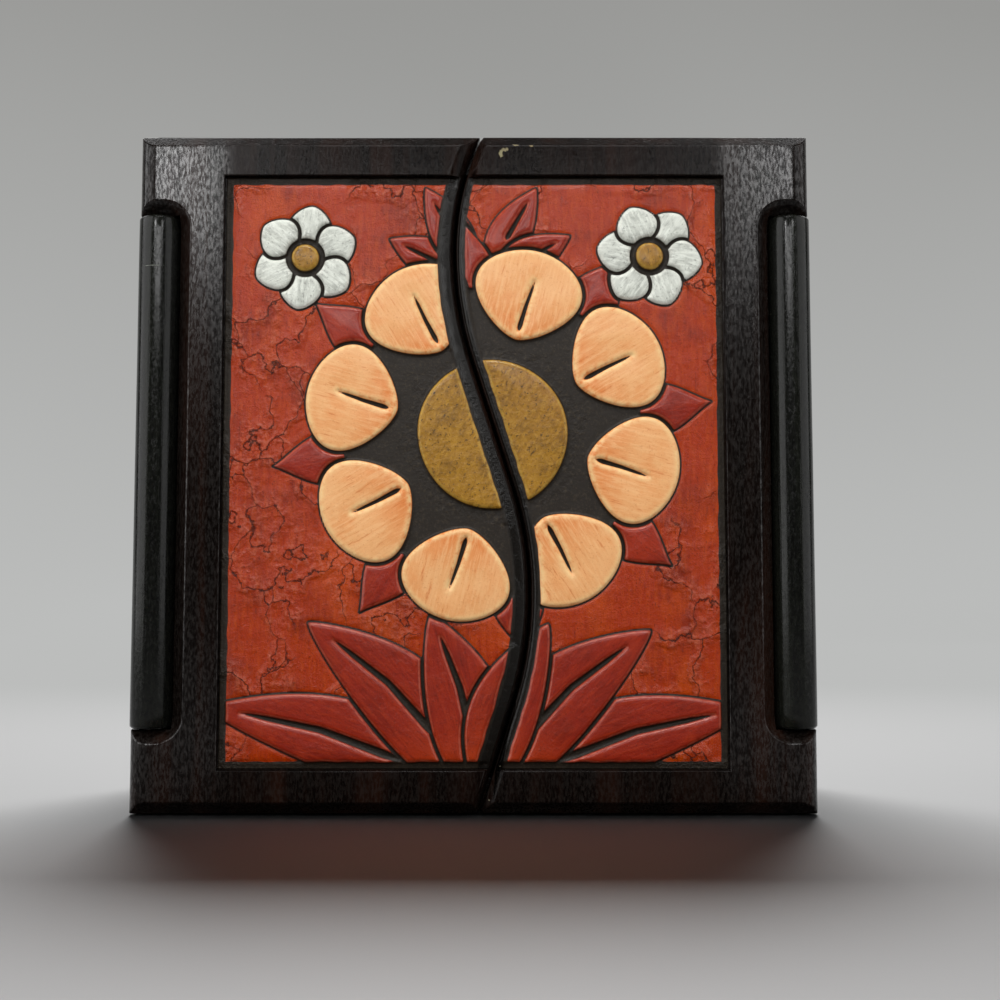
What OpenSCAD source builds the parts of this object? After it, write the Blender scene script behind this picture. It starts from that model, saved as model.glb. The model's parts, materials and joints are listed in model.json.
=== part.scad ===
// A carved wooden box that stands upright and is closed by two doors.
// The doors meet along an S-shaped split and turn on wooden knuckle hinges.
// X runs to the right, Y from the doors to the back, Z up; the origin is under the middle of the box.

/* [Box] */
// Width over the doors and over the side boards
box_w = 200; // [160:1:260]
// Height of the case
box_h = 201.5; // [160:0.5:260]
// Depth from the doors' faces to the back
box_d = 70; // [50:1:120]

/* [Doors] */
// Thickness of a door, and diameter of its rounded outer edge
door_t = 11.5; // [9:0.5:15]
// Space between the doors' backs and the case
door_gap = 0.4; // [0.3:0.1:1]
// Space above and below the doors, so that they swing clear of what the box stands on
door_rise = 0.6; // [0.3:0.1:2]
// Bevel along the top and bottom arrises of the doors
edge_bevel = 3.8; // [1:0.2:5]
// Border from a door's outer edge to the sunk field
stile_w = 26; // [22:0.5:40]
// Border from a door's top or bottom edge to the sunk field
rail_h = 12.8; // [8:0.2:30]
// Depth of the sunk field
field_depth = 2; // [1:0.1:3]

/* [Split between the doors] */
// Space between the two doors
split_gap = 0.8; // [0.6:0.1:2]
// How far the curve swings from side to side
split_sway = 22.3; // [10:0.1:30]
// Middle of that swing, to the right of the box's middle
split_shift = 5.35; // [-10:0.05:10]
// Radius of the bend above the left turn of the curve
split_top_r = 83; // [60:1:200]
// Lean of the straight foot of the curve, in degrees
split_foot_lean = 17.4; // [5:0.1:25]
// Radius of the left door's rounded edge along the split
split_round = 5; // [2:0.1:7]
// Bevel of the right door's edge along the split
split_bevel = 2.5; // [1:0.1:6]

/* [Hinges] */
// Diameter of a hinge post
post_d = 12.4; // [10:0.1:16]
// Space round a post, to the notch and to the ears
post_gap = 0.4; // [0.3:0.1:1]
// Softened arris at the ends of a post
post_chamfer = 0.6; // [0.2:0.1:1.5]
// Glue line between a post and its seat
glue_line = 0.05; // [0.02:0.01:0.1]
// Height of a door's ears, above and below the post
ear_h = 24.2; // [18:0.1:34]
// Bevel round the notch
notch_bevel = 3.8; // [2:0.1:5]
// Radius of the notch's outline at its corners, on the door's face
notch_corner_r = 8; // [6:0.1:10]
// Diameter of a hinge pin
pin_d = 3; // [2:0.1:4]
// Length of a pin inside the post
pin_reach = 12; // [8:0.5:20]
// How far a pin's outer end is sunk below the door's edge
pin_sink = 0.6; // [0.2:0.1:2]
// Softened arris at the ends of a pin
pin_chamfer = 0.4; // [0.1:0.1:0.8]
// Space round a pin in the post's bore, where it turns
pin_running_fit = 0.05; // [0.02:0.01:0.1]
// Space round a pin in the ear's bore, where it is held
pin_held_fit = 0.02; // [0.01:0.01:0.05]
// Space beyond a pin's end in the post's bore
pin_end_gap = 0.5; // [0.2:0.1:2]

/* [Case] */
// Thickness of the side, top and bottom boards
board_t = 10; // [8:0.5:11]
// How far the top and bottom boards are let into the sides
corner_rebate = 3; // [1:0.5:6]
// Thickness of the back panel
back_t = 4; // [3:0.5:8]
// How far the back panel is let into the boards on each side
back_lap = 5; // [3:0.5:7]

/* [Back nails] */
// Nails along each side of the back panel
nails_per_side = 3; // [2:1:5]
// Length of a nail
nail_length = 14; // [8:1:20]
// Diameter of a nail
nail_d = 1.4; // [1:0.1:2]
// Diameter of a nail's head
nail_head_d = 2.6; // [2:0.1:4]
// Thickness of a nail's head
nail_head_t = 0.7; // [0.4:0.1:1.5]
// Space round a nail in its hole
nail_fit = 0.02; // [0.01:0.01:0.05]

/* [Hidden] */
$fn = 96;

// How far every cut runs past the wood
overrun = 1;

// Depths, from the front of the posts or of the doors to the back of the case
post_r = post_d / 2;
door_r = door_t / 2;
post_proud = max(post_r - door_r, 0);
face_y = post_proud - (box_d + post_proud) / 2;
axis_y = face_y + door_r;
case_y = face_y + door_t + door_gap;
back_y = face_y + box_d;

// The hinge axis of the left door, and the notch round its post
axis_x = door_r - box_w / 2;
wall_x = axis_x + post_r + post_gap;
door_z0 = door_rise;
door_z1 = box_h - door_rise;
notch_z0 = door_z0 + ear_h;
notch_z1 = door_z1 - ear_h;
post_z0 = notch_z0 + post_gap;
post_z1 = notch_z1 - post_gap;
corner_x = wall_x + notch_bevel - notch_corner_r;
corner_z = notch_z1 + notch_bevel - notch_corner_r;

// The split: its left turn lies high, its right turn low, as shares of the box's height
left_turn_share = 0.822;
right_turn_share = 0.317;
// The straight between the turns leans this much more than the line that joins them
lean_share = 1.485;
// A cut swept along the split clears a band this wide beside it, and runs as far past the box's ends
band_w = 8;
left_turn = [split_shift - split_sway / 2, left_turn_share * box_h];
right_turn = [split_shift + split_sway / 2, right_turn_share * box_h];
turn_drop = left_turn.y - right_turn.y;
mid_lean = atan(lean_share * split_sway / turn_drop);
turn_r = split_sway * (lean_share - 1) * cos(mid_lean) / (1 - cos(mid_lean)) / 2;
left_centre = left_turn + [turn_r, 0];
right_centre = right_turn - [turn_r, 0];
top_centre = left_turn + [split_top_r, 0];
mid_start = left_centre - turn_r * [cos(mid_lean), sin(mid_lean)];
mid_end = right_centre + turn_r * [cos(mid_lean), sin(mid_lean)];
foot_start = right_centre + turn_r * [cos(split_foot_lean), -sin(split_foot_lean)];
foot_length = (foot_start.y + band_w) / cos(split_foot_lean);
foot_end = foot_start - foot_length * [sin(split_foot_lean), cos(split_foot_lean)];
top_turn = asin((box_h + band_w - left_turn.y) / split_top_r);
top_mid = top_centre + split_top_r * [-cos(top_turn / 2), sin(top_turn / 2)];
top_end = top_centre + split_top_r * [-cos(top_turn), sin(top_turn)];
// How far a straight cut along the split laps over a turned one, and how much deeper it goes
split_lap = 0.2;
split_hair = 0.02;
split_reach = abs(split_shift) + split_sway / 2 + split_gap;

wood_black = [0.055, 0.045, 0.04];
post_black = [0.06, 0.06, 0.055];
pin_steel = [0.45, 0.44, 0.42];
back_brown = [0.16, 0.11, 0.08];

// Draws an outline of the front view, from one depth behind the doors' faces to another
module through(from_depth, to_depth) {
    translate([0, face_y + to_depth, 0]) rotate([90, 0, 0]) linear_extrude(to_depth - from_depth) children();
}

// Turns a profile round a point of the front view. The profile's Y is depth; angles run clockwise from +X.
module turned(centre, from_angle, to_angle) {
    translate([centre.x, face_y, centre.y]) rotate([-90, 0, 0]) rotate([0, 0, from_angle])
        rotate_extrude(angle = to_angle - from_angle) children();
}

// Runs a profile up a straight line of the front view. A positive lean tips the line's top to the right.
module run_up(start, lean, length) {
    translate([start.x, face_y, start.y]) rotate([0, lean, 0]) linear_extrude(length) children();
}

// Sweeps a cutter along the whole split. Its X is the distance to the right of the split, its Y the depth.
// The straight cuts lap over the turned ones and go a hair deeper into the wood, which lies at the given side,
// so that no skin of wood stays where two cuts meet.
module along_split(wood_side) {
    turned(top_centre, 180, 180 + top_turn) translate([split_top_r, 0]) mirror([1, 0]) children();
    turned(left_centre, 180, 180 - mid_lean) translate([turn_r, 0]) mirror([1, 0]) children();
    turned(right_centre, -mid_lean, split_foot_lean) translate([turn_r, 0]) children();
    for (run = [[mid_end, -mid_lean, norm(mid_end - mid_start)], [foot_end, split_foot_lean, foot_length]])
        run_up(run[0] - split_lap * [sin(run[1]), cos(run[1])], run[1], run[2] + 2 * split_lap)
            translate([wood_side * split_hair, 0]) children();
}

// Everything beyond a line that follows the split at a distance, as far as the box is wide
module beyond_split(side) {
    line = [for (p = [top_end, top_mid, left_turn, mid_start, mid_end, right_turn, foot_start, foot_end])
        p + [side * band_w / 2, 0]];
    through(-overrun, door_t + overrun)
        polygon(concat(line, [[side * box_w, foot_end.y], [side * box_w, top_end.y]]));
}

// What the left door loses along the split, with its front arris rounded
module left_door_edge() {
    depth = door_t + 2 * overrun;
    difference() {
        translate([-split_gap / 2 - split_round, -overrun]) square([split_gap / 2 + split_round + band_w, depth]);
        translate([-split_gap / 2 - split_round, split_round]) circle(split_round);
        translate([-split_gap / 2 - 2 * split_round, split_round]) square([2 * split_round, depth]);
    }
}

// What the right door loses along the split, with its front arris bevelled
module right_door_edge() {
    polygon([[-band_w, -overrun], [split_gap / 2 + split_bevel + overrun, -overrun],
             [split_gap / 2, split_bevel], [split_gap / 2, door_t + overrun], [-band_w, door_t + overrun]]);
}

// The sloping side of the notch, measured out from the centre of its corner
module notch_slope() {
    polygon([[0, -overrun], [notch_corner_r + overrun, -overrun],
             [notch_corner_r - notch_bevel, notch_bevel], [0, notch_bevel]]);
}

// Repeats the top half of a shape at the bottom of the box
module top_and_bottom() {
    for (flip = [0, 1]) translate([0, 0, box_h / 2]) mirror([0, 0, flip]) translate([0, 0, -box_h / 2]) children();
}

// The notch for the left post, with the bevel round it
module notch() {
    translate([-box_w / 2 - overrun, face_y - overrun, notch_z0])
        cube([wall_x + box_w / 2 + overrun, door_t + 2 * overrun, notch_z1 - notch_z0]);
    run_up([corner_x, box_h - corner_z], 0, 2 * corner_z - box_h) notch_slope();
    top_and_bottom() {
        turned([corner_x, corner_z], -90, 0) notch_slope();
        translate([-box_w / 2 - overrun, face_y, corner_z]) rotate([90, 0, 90])
            linear_extrude(corner_x + box_w / 2 + overrun) mirror([1, -1]) notch_slope();
    }
}

// The bevel along the top arris
module arris_bevel() {
    translate([-box_w / 2 - overrun, face_y, door_z1]) rotate([90, 0, 90]) linear_extrude(2 * box_w)
        polygon([[-overrun, -edge_bevel - overrun], [edge_bevel + overrun, overrun], [-overrun, overrun]]);
}

// A door as the left one is made, before the split is cut: the right one is its mirror image
module door_blank() {
    difference() {
        union() {
            translate([axis_x, face_y, door_z0]) cube([split_reach - axis_x, door_t, door_z1 - door_z0]);
            translate([axis_x, axis_y, door_z0]) rotate([0, 0, 90])
                rotate_extrude(angle = 180) square([door_r, door_z1 - door_z0]);
        }
        notch();
        top_and_bottom() arris_bevel();
        translate([stile_w - box_w / 2, face_y - overrun, door_z0 + rail_h])
            cube([box_w, field_depth + overrun, door_z1 - door_z0 - 2 * rail_h]);
        translate([axis_x, axis_y, door_z0 - overrun])
            cylinder(r = pin_d / 2 + pin_held_fit, h = door_z1 - door_z0 + 2 * overrun);
    }
}

module left_door() {
    color(wood_black) difference() {
        door_blank();
        along_split(-1) left_door_edge();
        beyond_split(1);
    }
}

module right_door() {
    color(wood_black) difference() {
        mirror([1, 0, 0]) door_blank();
        along_split(1) right_door_edge();
        beyond_split(-1);
    }
}

// A round bar of the given length that stands on the floor of its own place, with softened ends
module bar(radius, length, chamfer) {
    rotate_extrude() polygon([[0, 0], [radius - chamfer, 0], [radius, chamfer], [radius, length - chamfer],
                              [radius - chamfer, length], [0, length]]);
}

// A post on the left hinge axis, bored at both ends for the pins
module post() {
    color(post_black) difference() {
        translate([axis_x, axis_y, post_z0]) bar(post_r, post_z1 - post_z0, post_chamfer);
        top_and_bottom() translate([axis_x, axis_y, post_z1 - pin_reach - pin_end_gap])
            cylinder(r = pin_d / 2 + pin_running_fit, h = pin_reach + pin_end_gap + overrun);
    }
}

// A pin in the left door's top ear
module pin() {
    color(pin_steel) translate([axis_x, axis_y, post_z1 - pin_reach])
        bar(pin_d / 2, door_z1 - pin_sink - post_z1 + pin_reach, pin_chamfer);
}

module flipped() {
    translate([0, 0, box_h / 2]) mirror([0, 0, 1]) translate([0, 0, -box_h / 2]) children();
}

module left_post() { post(); }
module right_post() { mirror([1, 0, 0]) post(); }
module left_top_pin() { pin(); }
module left_bottom_pin() { flipped() pin(); }
module right_top_pin() { mirror([1, 0, 0]) pin(); }
module right_bottom_pin() { mirror([1, 0, 0]) flipped() pin(); }

// The back panel's place, let into all four boards; a cut made with it runs past the back
module back_place(past) {
    inner_w = box_w - 2 * board_t;
    inner_h = box_h - 2 * board_t;
    translate([-inner_w / 2 - back_lap, back_y - back_t, board_t - back_lap])
        cube([inner_w + 2 * back_lap, back_t + past, inner_h + 2 * back_lap]);
}

// One nail that points forward from the back of the case, or its hole
module nail(fit, past) {
    rotate([90, 0, 0]) rotate_extrude()
        polygon([[0, -past], [nail_head_d / 2 + fit, -past], [nail_head_d / 2 + fit, nail_head_t + fit],
                 [nail_d / 2 + fit, nail_head_t + fit], [nail_d / 2 + fit, nail_length + fit],
                 [0, nail_length + fit]]);
}

// Nails along the four sides of the back panel, in the middle of what is let into the boards
module nails(fit, past) {
    line_x = box_w / 2 - board_t + back_lap / 2;
    line_z = box_h / 2 - board_t + back_lap / 2;
    for (i = [0 : nails_per_side - 1]) {
        share = (i + 1) / (nails_per_side + 1) * 2 - 1;
        for (side = [-1, 1]) {
            translate([side * line_x, back_y, box_h / 2 + share * line_z]) nail(fit, past);
            translate([share * line_x, back_y, box_h / 2 + side * line_z]) nail(fit, past);
        }
    }
}

// The left side board: its front edge runs on between the door's ears and is hollowed to seat the post
module side_board() {
    color(wood_black) difference() {
        union() {
            translate([-box_w / 2, case_y, 0]) cube([board_t, back_y - case_y, box_h]);
            translate([-box_w / 2, axis_y, post_z0]) cube([board_t, case_y - axis_y + overrun, post_z1 - post_z0]);
        }
        translate([axis_x, axis_y, post_z0 - overrun])
            cylinder(r = post_r + glue_line, h = post_z1 - post_z0 + 2 * overrun);
        top_and_bottom() translate([-box_w / 2 + board_t - corner_rebate, case_y - overrun, box_h - board_t])
            cube([corner_rebate + overrun, back_y - case_y + 2 * overrun, board_t + overrun]);
        back_place(overrun);
        nails(nail_fit, overrun);
    }
}

module left_side() { side_board(); }
module right_side() { mirror([1, 0, 0]) side_board(); }

// The top board, with its ends let into the sides
module cross_board() {
    length = box_w - 2 * board_t + 2 * corner_rebate;
    color(wood_black) difference() {
        translate([-length / 2, case_y, box_h - board_t]) cube([length, back_y - case_y, board_t]);
        back_place(overrun);
        nails(nail_fit, overrun);
    }
}

module top_board() { cross_board(); }
module bottom_board() { flipped() cross_board(); }

module back_panel() {
    color(back_brown) difference() {
        back_place(0);
        nails(nail_fit, overrun);
    }
}

module back_nails() { color(pin_steel) nails(0, 0); }

left_door();
right_door();
left_post();
right_post();
left_top_pin();
left_bottom_pin();
right_top_pin();
right_bottom_pin();
left_side();
right_side();
top_board();
bottom_board();
back_panel();
back_nails();
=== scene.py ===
import json
import math

import bmesh
import bpy
import numpy as np
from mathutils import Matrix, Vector

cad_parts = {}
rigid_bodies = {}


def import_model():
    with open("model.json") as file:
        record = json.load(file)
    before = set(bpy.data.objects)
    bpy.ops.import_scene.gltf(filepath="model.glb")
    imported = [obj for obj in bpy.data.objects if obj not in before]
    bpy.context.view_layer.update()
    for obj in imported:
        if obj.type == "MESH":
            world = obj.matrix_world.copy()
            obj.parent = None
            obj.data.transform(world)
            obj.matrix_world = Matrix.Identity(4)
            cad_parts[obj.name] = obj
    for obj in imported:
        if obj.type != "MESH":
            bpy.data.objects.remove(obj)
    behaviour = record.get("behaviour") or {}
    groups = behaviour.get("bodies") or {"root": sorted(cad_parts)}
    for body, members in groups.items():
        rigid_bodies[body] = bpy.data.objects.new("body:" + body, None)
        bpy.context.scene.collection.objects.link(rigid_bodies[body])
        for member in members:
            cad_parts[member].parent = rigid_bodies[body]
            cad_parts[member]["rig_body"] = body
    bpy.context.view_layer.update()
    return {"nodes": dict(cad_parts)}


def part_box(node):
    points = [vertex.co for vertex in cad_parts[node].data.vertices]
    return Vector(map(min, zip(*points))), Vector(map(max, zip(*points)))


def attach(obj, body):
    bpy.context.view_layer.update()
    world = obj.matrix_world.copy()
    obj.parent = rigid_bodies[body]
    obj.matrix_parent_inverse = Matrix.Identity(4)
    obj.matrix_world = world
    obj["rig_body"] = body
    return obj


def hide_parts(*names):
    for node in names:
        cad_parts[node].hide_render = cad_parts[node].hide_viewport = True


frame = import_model()
scene = bpy.context.scene
mm = 0.001

# Camera: low in front of the doors, tipped up a little
cameraView = {"place": (0.0077, -0.3983, 0.0660), "tipUp": 4.0, "lens": 45.0, "sensor": 36.0,
              "nearest": 0.01, "farthest": 20}


def addObject(name, data):
    made = bpy.data.objects.new(name, data)
    scene.collection.objects.link(made)
    return made


def makeCamera():
    lens = bpy.data.cameras.new("camera")
    lens.lens, lens.sensor_width = cameraView["lens"], cameraView["sensor"]
    lens.clip_start, lens.clip_end = cameraView["nearest"], cameraView["farthest"]
    camera = addObject("camera", lens)
    camera.location = cameraView["place"]
    camera.rotation_euler = (math.radians(90 + cameraView["tipUp"]), 0, 0)
    scene.camera = camera


makeCamera()
scene.view_settings.view_transform = "Standard"


# Shader tools
def tone(code):
    # A colour as it looks on screen, such as "a03020", turned into Blender's linear values
    parts = [int(code[i : i + 2], 16) / 255 for i in (0, 2, 4)]
    return tuple(p / 12.92 if p <= 0.04045 else ((p + 0.055) / 1.055) ** 2.4 for p in parts) + (1,)


class Wire:
    # A node's output, which can stand in a sum
    def __init__(self, finish, socket):
        self.finish, self.socket = finish, socket

    def sum(self, operation, *values):
        inputs = dict(enumerate(values))
        return self.finish.node("ShaderNodeMath", {"operation": operation}, inputs)

    def __add__(self, other):
        return self.sum("ADD", self, other)

    def __radd__(self, other):
        return self.sum("ADD", other, self)

    def __sub__(self, other):
        return self.sum("SUBTRACT", self, other)

    def __rsub__(self, other):
        return self.sum("SUBTRACT", other, self)

    def __mul__(self, other):
        return self.sum("MULTIPLY", self, other)

    def __rmul__(self, other):
        return self.sum("MULTIPLY", other, self)

    def __abs__(self):
        return self.sum("ABSOLUTE", self)


class Finish:
    # One material, with short ways to add nodes to it
    def __init__(self, name):
        self.material = bpy.data.materials.new(name)
        self.material.use_nodes = True
        self.tree = self.material.node_tree
        self.tree.nodes.clear()

    def node(self, kind, settings=None, inputs=None, output=0):
        made = self.tree.nodes.new(kind)
        for key, value in (settings or {}).items():
            setattr(made, key, value)
        for key, value in (inputs or {}).items():
            if isinstance(value, Wire):
                self.tree.links.new(value.socket, made.inputs[key])
            else:
                made.inputs[key].default_value = value
        return Wire(self, made.outputs[output] if made.outputs else None)

    def place(self):
        return self.node("ShaderNodeTexCoord", output="Object")

    def axis(self, vector, number):
        return self.node("ShaderNodeSeparateXYZ", {}, {0: vector}, number)

    def vectorMath(self, operation, *values, output=0):
        inputs = dict(enumerate(values))
        return self.node("ShaderNodeVectorMath", {"operation": operation}, inputs, output)

    def scaled(self, vector, factors):
        return self.node("ShaderNodeMapping", {}, {"Vector": vector, "Scale": factors})

    def noise(self, vector, scale, detail=3.0, roughness=0.5, distortion=0.0, output="Fac"):
        inputs = {"Vector": vector, "Scale": scale, "Detail": detail, "Roughness": roughness,
                  "Distortion": distortion}
        return self.node("ShaderNodeTexNoise", {}, inputs, output)

    def step(self, value, low, high, kind="SMOOTHSTEP"):
        ends = {"Value": value, "From Min": low, "From Max": high}
        return self.node("ShaderNodeMapRange", {"interpolation_type": kind}, ends)

    def mix(self, factor, first, second):
        settings = {"data_type": "RGBA", "clamp_factor": True}
        return self.node("ShaderNodeMix", settings, {0: factor, 6: first, 7: second}, 2)

    def attribute(self, name, output="Fac"):
        return self.node("ShaderNodeAttribute", {"attribute_name": name}, {}, output)

    def away(self, vector, place, stretch):
        # Distance from a place in millimetres, counted less along axes where the stretch is small
        apart = self.vectorMath("SUBTRACT", vector, [v * mm for v in place])
        apart = self.vectorMath("MULTIPLY", apart, stretch)
        return self.vectorMath("LENGTH", apart, output="Value") * (1 / mm)

    def bump(self, height, distance, strength=1.0):
        inputs = {"Height": height, "Distance": distance, "Strength": strength}
        return self.node("ShaderNodeBump", {}, inputs)

    def surface(self, **inputs):
        named = {key.replace("_", " "): value for key, value in inputs.items()}
        shader = self.node("ShaderNodeBsdfPrincipled", {}, named)
        self.node("ShaderNodeOutputMaterial", {}, {"Surface": shader})
        return self.material


# Wood under dark stain and lacquer. The grain runs up, or along X where grainWay says so.
# A mark is a chip or scratch: its place, stretch, size in millimetres and tone.
doorMarks = [((8.0, -34.8, 194.6), (1.5, 0.3, 0.8), 1.0, "8f8768"),
             ((9.2, -34.8, 195.9), (0.8, 0.3, 1.3), 0.8, "857c60"),
             ((12.5, -34.5, 197.3), (0.5, 0.3, 1.6), 0.5, "8a7f62"),
             ((17.0, -34.5, 197.0), (0.6, 0.3, 1.3), 0.4, "7d6f52"),
             ((4.5, -34.8, 5.0), (1.2, 0.3, 1.0), 0.45, "a39a80"),
             ((7.7, -34.0, 14.6), (0.8, 0.3, 1.2), 0.35, "b0a78e")]
postMarks = [((-95.0, -35.0, 160.9), (0.05, 0.05, 1.0), 0.14, "6c6e66")]
doorWood = {"dark": "070403", "warm": "1d0e08", "rub": "322d2a", "grit": 0.24, "grainWay": "Z",
            "figure": 90, "stretch": 0.06, "peel": 1.8, "rough": 0.1, "ridges": 0.03 * mm,
            "coat": 0.02, "polish": 0.8, "coatRough": 0.19, "shine": 0.06, "marks": doorMarks}
boardWood = doorWood | {"dark": "110b07", "warm": "24140b", "rough": 0.16, "grit": 0.18,
                        "coat": 0.1, "polish": 0, "coatRough": 0.12, "shine": 0.35, "marks": []}
shelfWood = boardWood | {"grainWay": "X"}
backWood = boardWood | {"dark": "1f150e", "warm": "3a2416", "rough": 0.46, "ridges": 0.08 * mm,
                        "coat": 0.05}
postWood = boardWood | {"dark": "090908", "warm": "12130f", "rub": "2a2c26", "figure": 260,
                        "stretch": 0.02, "rough": 0.12, "peel": 0.6, "coat": 0.02, "shine": 0.24,
                        "marks": postMarks}
# A pattern: its stretch along the grain, scale, detail, roughness and distortion
woodPatterns = {"fibre": (0.04, 1300, 3, 0.65), "peel": (0.6, 1350, 4, 0.65, 0.6),
                "lumps": (0.5, 420, 3, 0.6), "wear": (1, 38, 4, 0.6), "dust": (1, 1700, 1, 0.5),
                "grit": (0.3, 1500, 4, 0.75)}
# How much the patterns change the tone, the roughness and the height
woodTraces = {"wornTone": 0.4, "dustTone": 0.5, "chipTone": 0.85, "peelRough": 0.16,
              "poreRough": 0.08, "poreHeight": 0.35, "fibreHeight": 0.4, "chipDepth": 2,
              "chipRagged": 2.4, "handled": (0.07, 0.077), "leastPolish": 0.1}


def stainedWood(name, look):
    f = Finish(name)
    spot = f.place()
    traces = woodTraces

    def pattern(stretch, scale, detail, roughness, distortion=0.0):
        lengths = (1, 1, stretch) if look["grainWay"] == "Z" else (stretch, 1, 1)
        return f.noise(f.scaled(spot, lengths), scale, detail, roughness, distortion)

    figure = pattern(look["stretch"], look["figure"], 4, 0.6, 0.4)
    fibre, peel, lumps, wear, dust, grit = (pattern(*values) for values in woodPatterns.values())
    pores = f.step(fibre, 0.34, 0.44)
    worn = f.step(wear, 0.5, 0.75)
    specks = f.step(dust, 0.74, 0.79)
    grains = f.step(grit, 0.42, 0.62)
    rubbed = f.step(peel, 0.5, 0.7) * worn * traces["wornTone"] + specks * traces["dustTone"]
    colour = f.mix(f.step(figure, 0.42, 0.72), tone(look["dark"]), tone(look["warm"]))
    colour = f.mix(grains * look["grit"], colour, tone(look["rub"]))
    colour = f.mix(rubbed, colour, tone(look["rub"]))
    rough = look["rough"] + traces["peelRough"] * f.step(peel, 0.55, 0.35)
    rough = rough + traces["poreRough"] * (1 - pores)
    height = pores * traces["poreHeight"] + fibre * traces["fibreHeight"] + lumps
    height = height + peel * look["peel"]
    for place, stretch, size, raw in look["marks"]:
        apart = f.away(spot, place, stretch) + (peel - 0.5) * size * traces["chipRagged"]
        chip = f.step(apart, size, size * 0.75)
        colour = f.mix(chip * traces["chipTone"], colour, tone(raw))
        height = height - chip * traces["chipDepth"]
    # Hands and rags have polished the stiles, where the box is held
    handled = f.step(abs(f.axis(spot, 0)), *traces["handled"])
    least = traces["leastPolish"]
    polish = handled * (least + (1 - least) * grains) * look["polish"]
    return f.surface(Base_Color=colour, Roughness=rough, Normal=f.bump(height, look["ridges"]),
                     Coat_Weight=polish + look["coat"], Coat_Roughness=look["coatRough"],
                     Specular_IOR_Level=look["shine"])


steelWire = {"bright": "8c8a86", "dull": "4c4a47", "rough": 0.38, "tarnish": 600,
             "tarnishRough": 0.2, "scratches": 3000, "scratchDepth": 0.02 * mm}


def dullSteel(name, look):
    f = Finish(name)
    spot = f.place()
    tarnish = f.noise(spot, look["tarnish"], 4, 0.6)
    scratch = f.noise(f.scaled(spot, (1, 1, 0.1)), look["scratches"], 2, 0.5)
    colour = f.mix(f.step(tarnish, 0.35, 0.7), tone(look["bright"]), tone(look["dull"]))
    return f.surface(Base_Color=colour, Metallic=1.0,
                     Roughness=look["rough"] + look["tarnishRough"] * tarnish,
                     Normal=f.bump(scratch, look["scratchDepth"], 0.5))


# Paint on the carved relief. Its points carry four attributes: inside, how far they lie inside a
# painted shape, in millimetres; flank, 1 on the bare wood along the split; share, from 0 at a
# shape's centre to 1 at its tip; and stroke, the place along and across the brush's way.
ground = {"tone": "1c150d", "rub": "3f3526", "rubbed": 0.5, "flank": "0b0907", "flankTone": 0.9,
          "rough": 0.5, "flankRough": 0.24, "shine": 0.27, "coatRough": 0.14}
# How much the brush, blots and grain change the height and roughness, and what breaks up rims
paintTraces = {"brushHeight": 0.5, "blotRough": 0.1, "grainRough": 0.12, "ragged": 500}
# Cracks: the drifts that bend them (scale, detail, roughness and reach), and their widths in
# millimetres from the middle of the crack
cracks = {"drifts": [(55, 3, 0.5, 0.03), (380, 5, 0.7, 0.0036)], "patches": 27,
          "line": (0.05, 0.24), "lineTone": 0.85, "lineDepth": 3,
          # The welts' tone share is how much of the pale pink lip tone the raised lips take: a
          # painted highlight (sheen)
          "welt": (0.3, 3.4), "weltSheenTone": 0.35, "weltHeight": 1.5, "weltLumps": 5}


def crackWeb(f, spot, look):
    # Wandering cracks, as the distance in millimetres from the nearest one
    place = spot
    for scale, detail, roughness, reach in cracks["drifts"]:
        drift = f.noise(spot, scale, detail, roughness, output="Color")
        place = f.vectorMath("MULTIPLY_ADD", drift, (reach,) * 3, place)
    place = f.scaled(place, (1, 1, look["crackStretch"]))
    inputs = {"Vector": place, "Scale": look["cracksPerMetre"]}
    web = f.node("ShaderNodeTexVoronoi", {"feature": "DISTANCE_TO_EDGE"}, inputs, "Distance")
    return web * (1 / mm / look["cracksPerMetre"])


def crackle(f, spot, look, dab, colour, height):
    # Patches of dark cracks with raised lips, whose paler pinkish tone is a painted highlight
    # (sheen)
    web = crackWeb(f, spot, look)
    patch = f.step(f.noise(spot, cracks["patches"], 2, 0.5), 0.42, 0.5)
    line = (1 - f.step(web, *cracks["line"])) * patch
    welt = (1 - f.step(web, *cracks["welt"])) * patch
    # Painted highlight: the raised lips are painted a pale pinkish sheen colour
    pale = welt * f.step(dab, 0.48, 0.62) * cracks["weltSheenTone"]
    colour = f.mix(pale, colour, tone(look["lipSheen"]))
    colour = f.mix(line * cracks["lineTone"], colour, tone(look["crackTone"]))
    height = height + welt * (cracks["weltHeight"] + cracks["weltLumps"] * dab)
    return colour, height - line * cracks["lineDepth"]


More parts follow.
